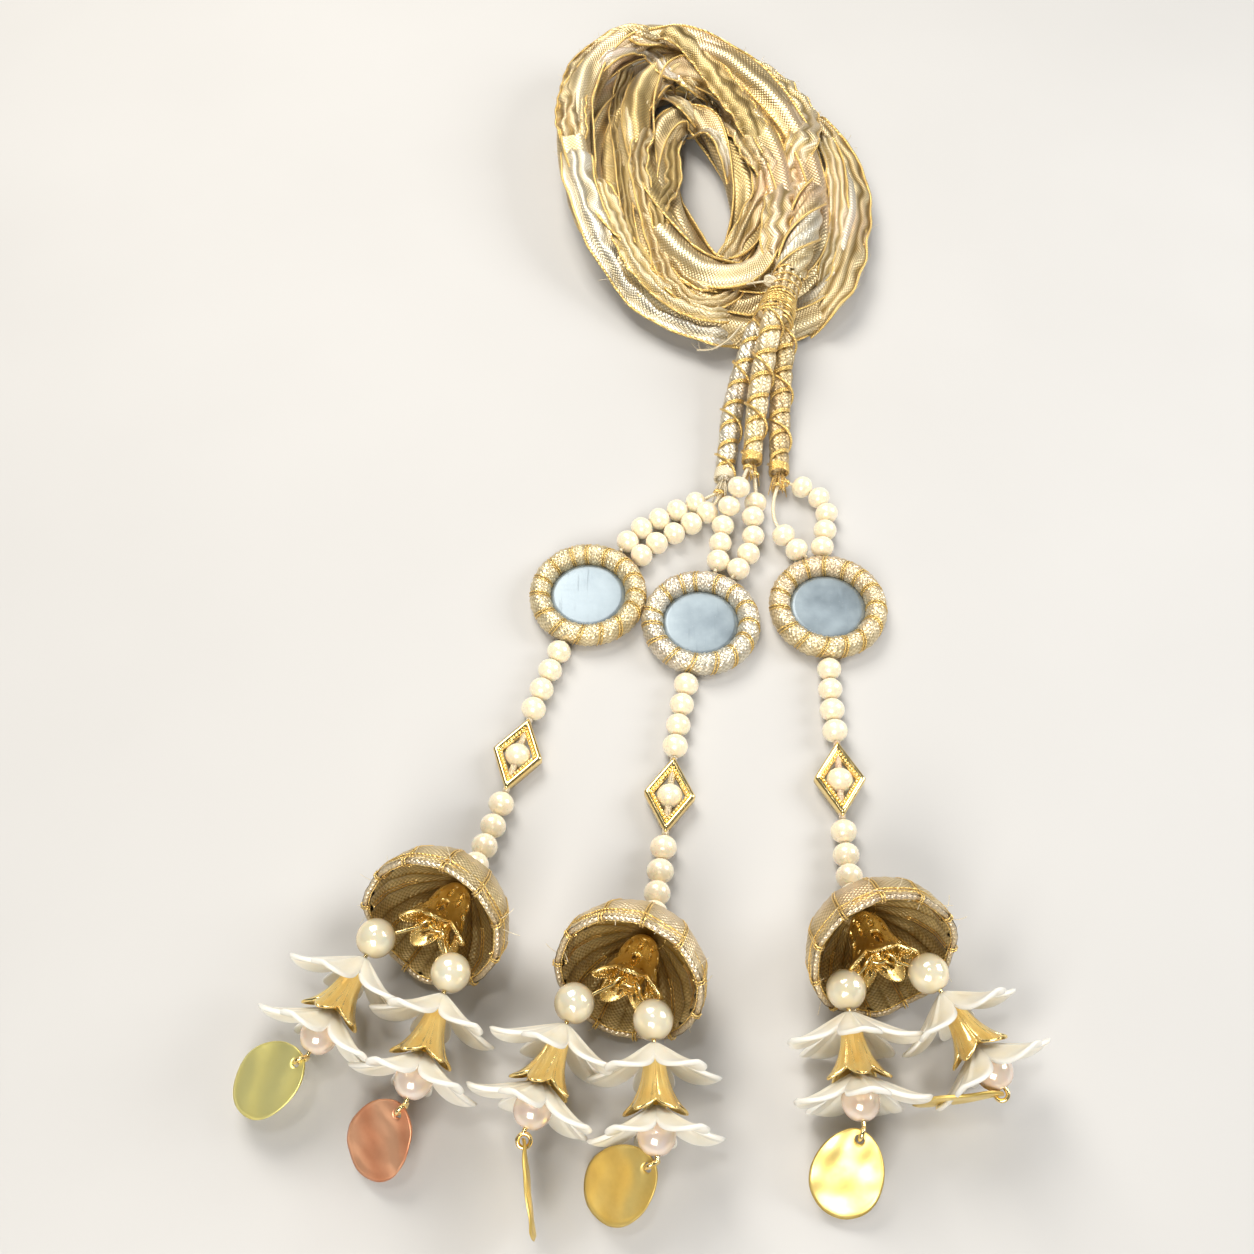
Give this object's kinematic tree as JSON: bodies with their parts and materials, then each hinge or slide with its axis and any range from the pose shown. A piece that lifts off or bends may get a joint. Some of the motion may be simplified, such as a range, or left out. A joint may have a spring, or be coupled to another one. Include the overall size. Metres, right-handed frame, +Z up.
{
  "type": "braid tassel",
  "caption": "Hair braid tassel: a coiled hank of metallic ribbon on bound stems that carry pearl strings, mirror discs, diamond frames and ribbon bells with flower drops.",
  "frame": {"origin": "on the floor under the middle of the whole tassel as it lies flat", "axes": "+Z up from the floor, +Y along the tassel towards the ribbon hank, +X to the right seen from above with the hank at the far end"},
  "size_m": [0.158, 0.3624, 0.0289],
  "materials": {
    "gold_ribbon": "champagne gold tissue ribbon with fine gold edges, satin shine",
    "pearl": "cream pearl coat, glossy, faintly iridescent",
    "mirror": "cool grey mirror glass, lightly scratched",
    "gold_metal": "bright polished gold plating",
    "copper_metal": "satin rose copper plating",
    "frosted_petal": "milky frosted acrylic, half translucent"
  },
  "bodies": {
    "root": {"ribbon_hank": "gold_ribbon", "bound_neck": "gold_ribbon", "wound_stem_left": "gold_ribbon", "bead_loop_left": "pearl", "disc_ring_left": "gold_ribbon", "disc_mirror_left": "mirror", "pearl_strand_left": "pearl", "diamond_frame_left": "gold_metal", "ribbon_bell_left": "gold_ribbon", "pierced_cap_left": "gold_metal", "drop_pin_left_1": "pearl", "upper_flower_left_1": "frosted_petal", "trumpet_left_1": "gold_metal", "lower_flower_left_1": "frosted_petal", "paillette_left_1": "gold_metal", "drop_pin_left_2": "pearl", "upper_flower_left_2": "frosted_petal", "trumpet_left_2": "gold_metal", "lower_flower_left_2": "frosted_petal", "paillette_left_2": "copper_metal", "wound_stem_middle": "gold_ribbon", "bead_loop_middle": "pearl", "disc_ring_middle": "gold_ribbon", "disc_mirror_middle": "mirror", "pearl_strand_middle": "pearl", "diamond_frame_middle": "gold_metal", "ribbon_bell_middle": "gold_ribbon", "pierced_cap_middle": "gold_metal", "drop_pin_middle_1": "pearl", "upper_flower_middle_1": "frosted_petal", "trumpet_middle_1": "gold_metal", "lower_flower_middle_1": "frosted_petal", "paillette_middle_1": "gold_metal", "drop_pin_middle_2": "pearl", "upper_flower_middle_2": "frosted_petal", "trumpet_middle_2": "gold_metal", "lower_flower_middle_2": "frosted_petal", "paillette_middle_2": "gold_metal", "wound_stem_right": "gold_ribbon", "bead_loop_right": "pearl", "disc_ring_right": "gold_ribbon", "disc_mirror_right": "mirror", "pearl_strand_right": "pearl", "diamond_frame_right": "gold_metal", "ribbon_bell_right": "gold_ribbon", "pierced_cap_right": "gold_metal", "drop_pin_right_1": "pearl", "upper_flower_right_1": "frosted_petal", "trumpet_right_1": "gold_metal", "lower_flower_right_1": "frosted_petal", "paillette_right_1": "gold_metal", "drop_pin_right_2": "pearl", "upper_flower_right_2": "frosted_petal", "trumpet_right_2": "gold_metal", "lower_flower_right_2": "frosted_petal", "paillette_right_2": "gold_metal"}
  },
  "joints": []
}
